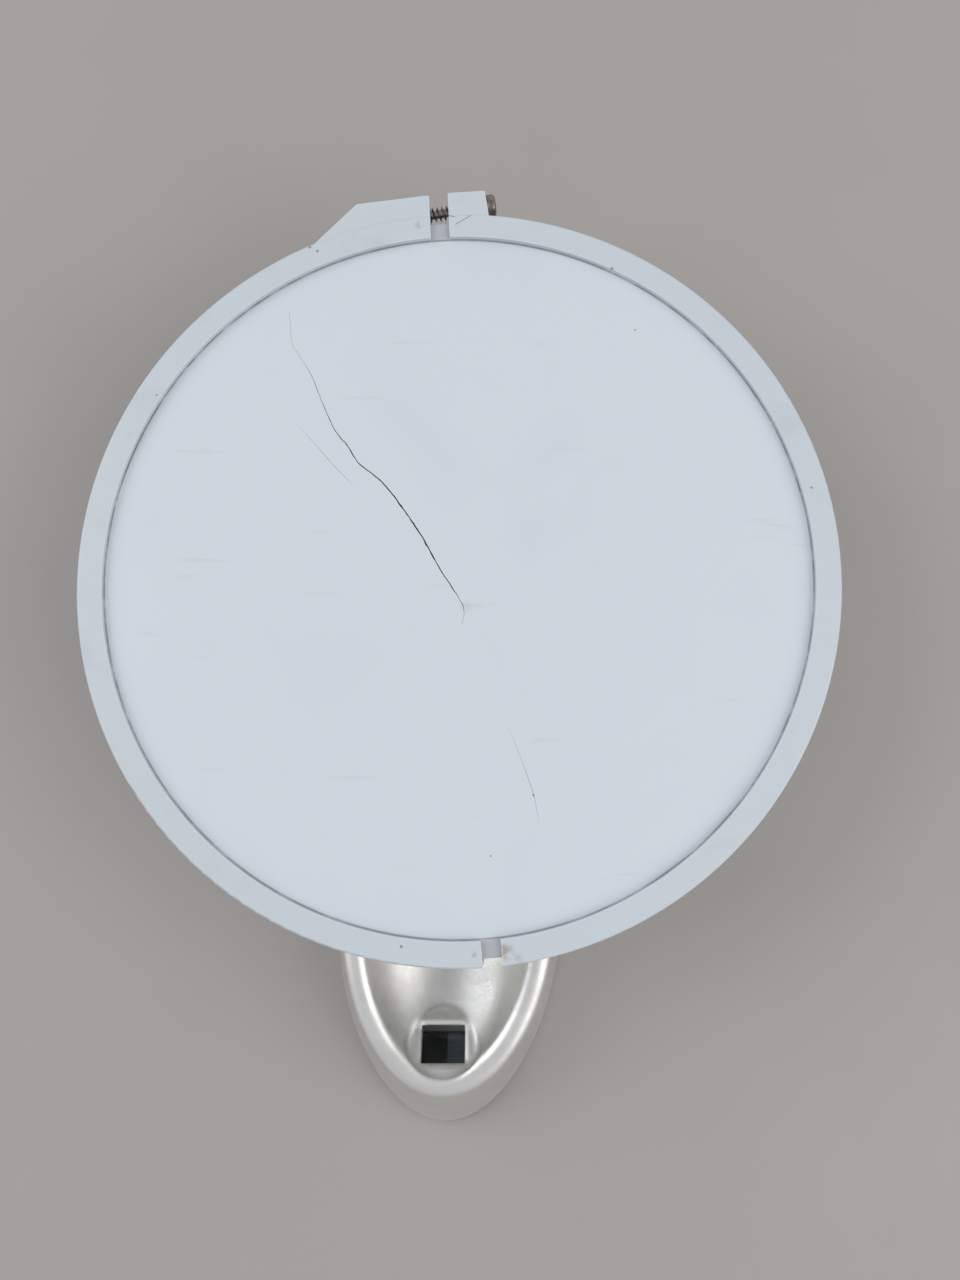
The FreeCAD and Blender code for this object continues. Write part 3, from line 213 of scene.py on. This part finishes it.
CASTING_SOFTNESS = 3.8 * MM            # reach of the shading that softens the casting's edges


def cast_aluminium():
    """Satin casting: rubbed bright in streaky patches, greyer and grainier between them."""
    skin = Finish("cast_aluminium", (0.79, 0.78, 0.755), 0.4, 1.0)
    softened = skin.node("ShaderNodeBevel", samples=8)
    softened.inputs["Radius"].default_value = CASTING_SOFTNESS
    skin.normal = softened.outputs["Normal"]
    broad = skin.noise(22 * MM, 4.0, distortion=0.4)
    grain = skin.noise(0.9 * MM, 3.0)
    rubbed = skin.noise(7 * MM, 4.0, (0.35, 1, 1))
    skin.tint(skin.between(broad, 0.45, 0.75), (0.66, 0.65, 0.635), 0.55)
    skin.tint(skin.between(rubbed, 0.5, 0.7), (0.86, 0.86, 0.85), 0.35)
    skin.tint(skin.between(grain, 0.62, 0.75), (0.5, 0.49, 0.47), 0.3)
    skin.rough(skin.between(skin.math("ADD", broad, grain), 0.7, 1.3, 0.34, 0.5))
    skin.bump(rubbed, 0.12 * MM, 0.35)
    skin.bump(grain, 0.03 * MM, 0.35)
    return skin.done()


def white_plastic():
    """Moulded cover: faint cloudiness, a fine satin grain, a few scuffs and specks, and painted shade on its
    border and along the field's edge.
    """
    skin = Finish("white_plastic", (0.655, 0.70, 0.755), 0.38, Specular_IOR_Level=0.45)
    cloud = skin.noise(55 * MM, 4.0, distortion=0.6)
    grain = skin.noise(0.5 * MM, 2.0)
    scuff = skin.noise(5 * MM, 6.0, (0.12, 1, 1), 0.3)
    skin.tint(skin.between(cloud, 0.48, 0.78), (0.60, 0.645, 0.70), 0.45)
    skin.tint(skin.between(scuff, 0.66, 0.78), (0.52, 0.545, 0.58), 0.35)
    for x, y, radius in COVER_SPECKS:
        skin.tint(skin.spot(on_top(x, y, FIELD_LEVEL), radius * MM), (0.2, 0.2, 0.2), 0.8)
    outward = skin.vector("MULTIPLY", skin.vector("SUBTRACT", skin.place, MIDDLE), (1, 1, 0))
    radius = skin.vector("LENGTH", outward)
    # Painted shade: the border beyond the field radius, seen only in the gaps between the band's ends, is
    # greyed.
    skin.tint(skin.between(radius, FIELD_RADIUS, FIELD_RADIUS + 0.6 * MM), (0.47, 0.49, 0.52))
    # Painted shade: a thin dark line along the field's edge at the foot of the border's step, broken up by
    # the scuff noise.
    off_field_edge = skin.math("ABSOLUTE", skin.math("SUBTRACT", radius, FIELD_RADIUS))
    step_shade = skin.between(off_field_edge, 0.1 * MM, 0.45 * MM, 1.0, 0.0)
    skin.tint(skin.math("MULTIPLY", step_shade, skin.between(scuff, 0.3, 0.6, 0.35, 1.0)), (0.17, 0.15, 0.14), 0.65)
    rust = skin.spot(on_top(*CRACK_RUST, FIELD_LEVEL), 3.5 * MM, 0.1)
    skin.tint(skin.math("MULTIPLY", rust, cloud), (0.42, 0.34, 0.26), 0.35)
    skin.rough(skin.between(cloud, 0.3, 0.7, 0.32, 0.46))
    skin.bump(grain, 0.012 * MM, 0.3)
    skin.bump(cloud, 0.5 * MM, 0.12)
    return skin.done()


def white_enamel():
    """Powder coat on the clamp band: orange peel, painted highlights on its edges, grime by the gaps, nicks
    and scratches.
    """
    skin = Finish("white_enamel", (0.585, 0.63, 0.68), 0.42, Specular_IOR_Level=0.45)
    peel = skin.noise(1.6 * MM, 2.0)
    cloud = skin.noise(18 * MM, 5.0, distortion=0.5)
    ragged = skin.noise(2.2 * MM, 5.0)
    skin.tint(skin.between(cloud, 0.52, 0.8), (0.50, 0.53, 0.56), 0.5)
    # Painted highlight: the band's edges and corners are lightened.
    skin.tint(skin.edges(0.7 * MM), (0.80, 0.83, 0.86), 0.55)
    for x, y, radius, strength in BAND_STAINS:
        mask = skin.spot(on_top(x, y, BAND_TOP), radius * MM, 0.1)
        mottled = skin.math("MULTIPLY", mask, skin.between(ragged, 0.35, 0.6))
        skin.tint(mottled, (0.36, 0.27, 0.20), strength)
    nicks = [skin.spot(on_top(x, y, BAND_TOP), r * MM, 0.4) for x, y, r in BAND_NICKS]
    for start, end, width in BAND_SCRATCHES:
        nicks.append(skin.stroke(on_top(*start, BAND_TOP), on_top(*end, BAND_TOP), width * MM))
    marks = skin.most(nicks)
    skin.tint(marks, (0.16, 0.15, 0.15), 0.75)
    skin.rough(skin.between(cloud, 0.3, 0.7, 0.36, 0.5))
    skin.bump(peel, 0.03 * MM, 0.25)
    skin.bump(skin.math("SUBTRACT", 1.0, marks), 0.15 * MM, 0.6)
    return skin.done()


def steel(name, colour, roughness, tarnish, tarnished):
    """Turned or plated steel with a directional grain and patches of tarnish."""
    skin = Finish(name, colour, roughness, 1.0)
    patches = skin.noise(2.5 * MM, 5.0)
    lines = skin.noise(0.35 * MM, 2.0, (0.15, 1, 1))
    skin.tint(skin.between(patches, 0.42, 0.62), tarnished, tarnish)
    skin.rough(skin.between(patches, 0.35, 0.65, roughness * 0.8, roughness * 1.35))
    skin.bump(lines, 0.02 * MM, 0.4)
    return skin.done()


def dark_steel():
    return steel("dark_steel", (0.34, 0.31, 0.29), 0.34, 0.7, (0.12, 0.095, 0.08))


def zinc_steel():
    return steel("zinc_steel", (0.62, 0.63, 0.62), 0.36, 0.4, (0.42, 0.43, 0.42))


def spring_steel():
    return steel("spring_steel", (0.50, 0.50, 0.50), 0.3, 0.4, (0.36, 0.35, 0.34))


def contact_metal():
    return steel("contact_metal", (0.72, 0.70, 0.65), 0.26, 0.3, (0.55, 0.5, 0.42))


def moulded(name, colour, roughness, grain_size, grain_depth, worn):
    """Moulded plastic or rubber with a fine texture and slightly polished or dusty patches."""
    skin = Finish(name, colour, roughness)
    cloud = skin.noise(14 * MM, 4.0)
    grain = skin.noise(grain_size, 2.0)
    skin.tint(skin.between(cloud, 0.5, 0.8), worn, 0.5)
    skin.tint(skin.edges(0.4 * MM), worn, 0.35)
    skin.rough(skin.between(cloud, 0.3, 0.7, roughness * 0.9, min(1.0, roughness * 1.15)))
    skin.bump(grain, grain_depth, 0.5)
    return skin.done()


def black_rubber():
    return moulded("black_rubber", (0.022, 0.022, 0.023), 0.75, 0.7 * MM, 0.05 * MM, (0.06, 0.058, 0.055))


def grey_plastic():
    return moulded("grey_plastic", (0.30, 0.305, 0.31), 0.55, 0.4 * MM, 0.04 * MM, (0.36, 0.36, 0.355))


def component_plastic():
    return moulded("component_plastic", (0.03, 0.03, 0.032), 0.5, 0.2 * MM, 0.01 * MM, (0.07, 0.07, 0.07))


def lead_sleeve():
    return moulded("lead_sleeve", (0.035, 0.035, 0.04), 0.4, 0.8 * MM, 0.02 * MM, (0.07, 0.07, 0.075))


def battery_wrap():
    return moulded("battery_wrap", (0.05, 0.07, 0.12), 0.28, 3.0 * MM, 0.02 * MM, (0.10, 0.12, 0.16))


def black_mask():
    """Matt black print round the display's glass."""
    return moulded("black_mask", (0.006, 0.006, 0.005), 0.6, 0.3 * MM, 0.01 * MM, (0.012, 0.012, 0.01))


def circuit_board():
    """Green solder mask over faint copper tracks."""
    skin = Finish("circuit_board", (0.03, 0.13, 0.06), 0.35, Coat_Weight=0.4)
    tracks = skin.node("ShaderNodeTexBrick")
    tracks.inputs["Scale"].default_value = 1.0
    tracks.inputs["Mortar Size"].default_value = 0.08
    skin.feed(tracks.inputs["Vector"], skin.vector("MULTIPLY", skin.place, Vector((1, 1, 1)) / (3 * MM)))
    skin.tint(tracks.outputs["Fac"], (0.06, 0.22, 0.09), 0.7)
    skin.tint(skin.between(skin.noise(8 * MM), 0.5, 0.7), (0.02, 0.10, 0.05), 0.4)
    skin.bump(tracks.outputs["Fac"], 0.03 * MM, 0.5)
    return skin.done()


def display_glass():
    """Unlit display: dark blue-grey glass with the faintest cloudiness."""
    skin = Finish("display_glass", (0.075, 0.090, 0.105), 0.12, Specular_IOR_Level=0.5)
    skin.tint(skin.between(skin.noise(4 * MM, 3.0), 0.4, 0.7), (0.088, 0.103, 0.12), 0.6)
    skin.rough(skin.between(skin.noise(1.5 * MM, 3.0), 0.4, 0.7, 0.1, 0.2))
    skin.bump(skin.noise(6 * MM, 2.0), 0.02 * MM, 0.2)
    return skin.done()


def clear_plastic():
    """Clear window with a trace of haze and fine scratches."""
    skin = Finish("clear_plastic", (0.93, 0.95, 0.96), 0.08, Transmission_Weight=1.0, IOR=1.25)
    haze = skin.noise(3 * MM, 4.0, (0.2, 1, 1))
    skin.tint(skin.between(haze, 0.4, 0.8), (0.86, 0.88, 0.90), 0.5)
    skin.rough(skin.between(haze, 0.45, 0.75, 0.04, 0.16))
    skin.bump(haze, 0.01 * MM, 0.3)
    return skin.done()


def crack_dirt_and_shade():
    """The rough faces inside the cover's cracks, near black: partly dirt, partly painted shade of the narrow
    cracks.
    """
    return moulded("crack_dirt_and_shade", (0.035, 0.033, 0.032), 0.9, 0.3 * MM, 0.1 * MM, (0.07, 0.062, 0.055))


SLOT_FINISHES = [cast_aluminium, white_plastic, white_enamel, dark_steel, zinc_steel, spring_steel,
                 black_rubber, grey_plastic, clear_plastic, black_mask, display_glass, circuit_board,
                 component_plastic, lead_sleeve, contact_metal, battery_wrap]


def finish_nodes():
    """Gives every CAD node the finish of its material slot."""
    made = {build.__name__: build() for build in SLOT_FINISHES}
    for part in RECORD["subparts"]:
        slots = NODES[part["node"]].data.materials
        slots.clear()
        slots.append(made[part["material_slot"]])


# ---------------------------------------------------------------- the cracked cover
COVER_SHARP_ANGLE = math.radians(35)


def smooth_path(points, step):
    """Points a step apart on a smooth curve through the given ones (Catmull-Rom)."""
    places = [Vector(p).to_3d() * MM for p in points]
    ends = [places[0] * 2 - places[1], *places, places[-1] * 2 - places[-2]]
    path = []
    for before, here, after, beyond in zip(ends, ends[1:], ends[2:], ends[3:]):
        count = max(2, round((after - here).length / step))
        for i in range(count):
            t = i / count
            path.append(0.5 * ((2 * here) + (after - before) * t
                               + (2 * before - 5 * here + 4 * after - beyond) * t * t
                               + (3 * here - before - 3 * after + beyond) * t ** 3))
    return path + [places[-1]]


def crack_cutter(points, width, depth, middle_share, material):
    """A thin upright wedge along the path, widest at middle_share of its length."""
    path = smooth_path(points, CRACK_STEP)
    high = COVER_TOP + MM
    low = FIELD_LEVEL - depth * MM
    mesh = bmesh.new()
    rings = []
    for i, place in enumerate(path):
        share = i / (len(path) - 1)
        ahead = path[min(i + 1, len(path) - 1)] - path[max(i - 1, 0)]
        side = Vector((-ahead.y, ahead.x, 0)).normalized()
        swell = math.sin(math.pi * share ** (math.log(0.5) / math.log(middle_share)))
        jitter = 0.75 + 0.5 * noise.noise(place / (2.5 * MM))
        half = width * MM / 2 * max(0.12, swell ** 0.7 * jitter)
        shift = side * noise.noise(place / (1.7 * MM) + Vector((7, 0, 0))) * 0.22 * MM
        middle = Vector((MIDDLE.x, MIDDLE.y, 0)) + place + shift
        rings.append([mesh.verts.new(middle + side * across * half + Vector((0, 0, level)))
                      for across, level in ((-1, high), (1, high), (0.8, low), (-0.8, low))])
    for near, far in zip(rings, rings[1:]):
        for k in range(4):
            mesh.faces.new((near[k], near[(k + 1) % 4], far[(k + 1) % 4], far[k]))
    mesh.faces.new(rings[0])
    mesh.faces.new(reversed(rings[-1]))
    bmesh.ops.recalc_face_normals(mesh, faces=mesh.faces)
    cutter = bpy.data.meshes.new("crack_cutter")
    mesh.to_mesh(cutter)
    mesh.free()
    cutter.materials.append(material)
    made = bpy.data.objects.new("crack_cutter", cutter)
    bpy.context.scene.collection.objects.link(made)
    return made


def cracked_cover():
    """The platform's cover with its long crack and two hairlines cut into the top."""
    source = NODES["platform_cover"]
    cover = bpy.data.objects.new("cracked_cover", source.data.copy())
    bpy.context.scene.collection.objects.link(cover)
    # Near-black crack faces: partly dirt, partly painted shade.
    dirt_and_shade = crack_dirt_and_shade()
    hairline = (HAIRLINE_WIDTH, HAIRLINE_DEPTH, HAIRLINE_WIDEST)
    for points, width, depth, widest in ((CRACK, CRACK_WIDTH, CRACK_DEPTH, CRACK_WIDEST),
                                         (LEFT_HAIRLINE, *hairline),
                                         (FRONT_HAIRLINE, *hairline)):
        cutter = crack_cutter(points, width, depth, widest, dirt_and_shade)
        cut = cover.modifiers.new("crack", "BOOLEAN")
        cut.object = cutter
        cut.operation = "DIFFERENCE"
        cut.solver = "EXACT"
        cut.material_mode = "TRANSFER"
        apply_modifiers(cover)
        bpy.data.objects.remove(cutter)
    cover.data.shade_smooth()
    cover.data.set_sharp_from_angle(angle=COVER_SHARP_ANGLE)
    weigh = cover.modifiers.new("weighted", "WEIGHTED_NORMAL")
    weigh.keep_sharp = True
    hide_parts("platform_cover")
    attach(cover, "platform")


def apply_modifiers(piece):
    """Swaps the piece's mesh for what its modifiers make of it."""
    graph = bpy.context.evaluated_depsgraph_get()
    made = bpy.data.meshes.new_from_object(piece.evaluated_get(graph))
    piece.modifiers.clear()
    piece.data = made


# ---------------------------------------------------------------- light, floor and camera
CAMERA_FROM = (20.5, -66.5, 344.7)     # millimetres from the platform's middle, and above the band's top
CAMERA_AIM = (9.9, -24.3)              # where it looks, in the plane of the band's top
CAMERA_TWIST = math.radians(-2.178)    # about its own line of sight
CAMERA_LENS = 27.0                     # for a sensor 36 mm along the picture's long side


def place_camera():
    """Looks almost straight down on the platform, leaning a little towards the clamp screw."""
    eye = on_top(CAMERA_FROM[0], CAMERA_FROM[1], BAND_TOP + CAMERA_FROM[2] * MM)
    forward = (on_top(*CAMERA_AIM, BAND_TOP) - eye).normalized()
    up = Vector((0, 1, 0))
    up = (up - forward * up.dot(forward)).normalized()
    up.rotate(Matrix.Rotation(CAMERA_TWIST, 3, forward))
    right = up.cross(-forward)
    camera = bpy.data.objects.new("camera", bpy.data.cameras.new("camera"))
    camera.data.sensor_width = 36.0
    camera.data.lens = CAMERA_LENS
    camera.data.clip_start = 0.01
    turn = Matrix((right, up, -forward)).transposed()
    camera.matrix_world = Matrix.Translation(eye) @ turn.to_4x4()
    bpy.context.scene.collection.objects.link(camera)
    bpy.context.scene.camera = camera


def area_light(name, place, size, power, colour):
    """A soft round light that faces the middle of the platform."""
    lamp = bpy.data.lights.new(name, "AREA")
    lamp.shape = "DISK"
    lamp.size = size
    lamp.energy = power
    lamp.color = colour
    made = bpy.data.objects.new(name, lamp)
    made.location = place
    made.rotation_euler = (MIDDLE - Vector(place)).to_track_quat("-Z", "Y").to_euler()
    bpy.context.scene.collection.objects.link(made)


def light_scene():
    """Broad soft lights from the left and the right, and a pale room all round."""
    area_light("window_light", (-2.0, 0.5, 1.6), 2.2, 24.0, (0.95, 0.98, 1.0))
    area_light("right_light", (1.45, -0.35, 1.2), 1.8, 15.0, (1.0, 0.985, 0.97))
    world = bpy.data.worlds.new("room")
    world.use_nodes = True
    sky = world.node_tree.nodes["Background"]
    sky.inputs["Color"].default_value = (0.95, 0.975, 1.0, 1.0)
    sky.inputs["Strength"].default_value = 0.57
    bpy.context.scene.world = world


FLOOR_REACH = 3.0


def lay_floor():
    """A plain pale floor under the feet."""
    skin = Finish("pale_floor", (0.39, 0.365, 0.35), 0.6)
    skin.tint(skin.between(skin.noise(90 * MM, 3.0), 0.4, 0.7), (0.375, 0.35, 0.335), 0.5)
    mesh = bpy.data.meshes.new("floor")
    reach = FLOOR_REACH
    corners = [(-reach, -reach, 0), (reach, -reach, 0), (reach, reach, 0), (-reach, reach, 0)]
    mesh.from_pydata(corners, [], [(0, 1, 2, 3)])
    mesh.materials.append(skin.done())
    floor = bpy.data.objects.new("floor", mesh)
    bpy.context.scene.collection.objects.link(floor)


finish_nodes()
cracked_cover()
light_scene()
lay_floor()
place_camera()
bpy.context.scene.view_settings.view_transform = "Standard"
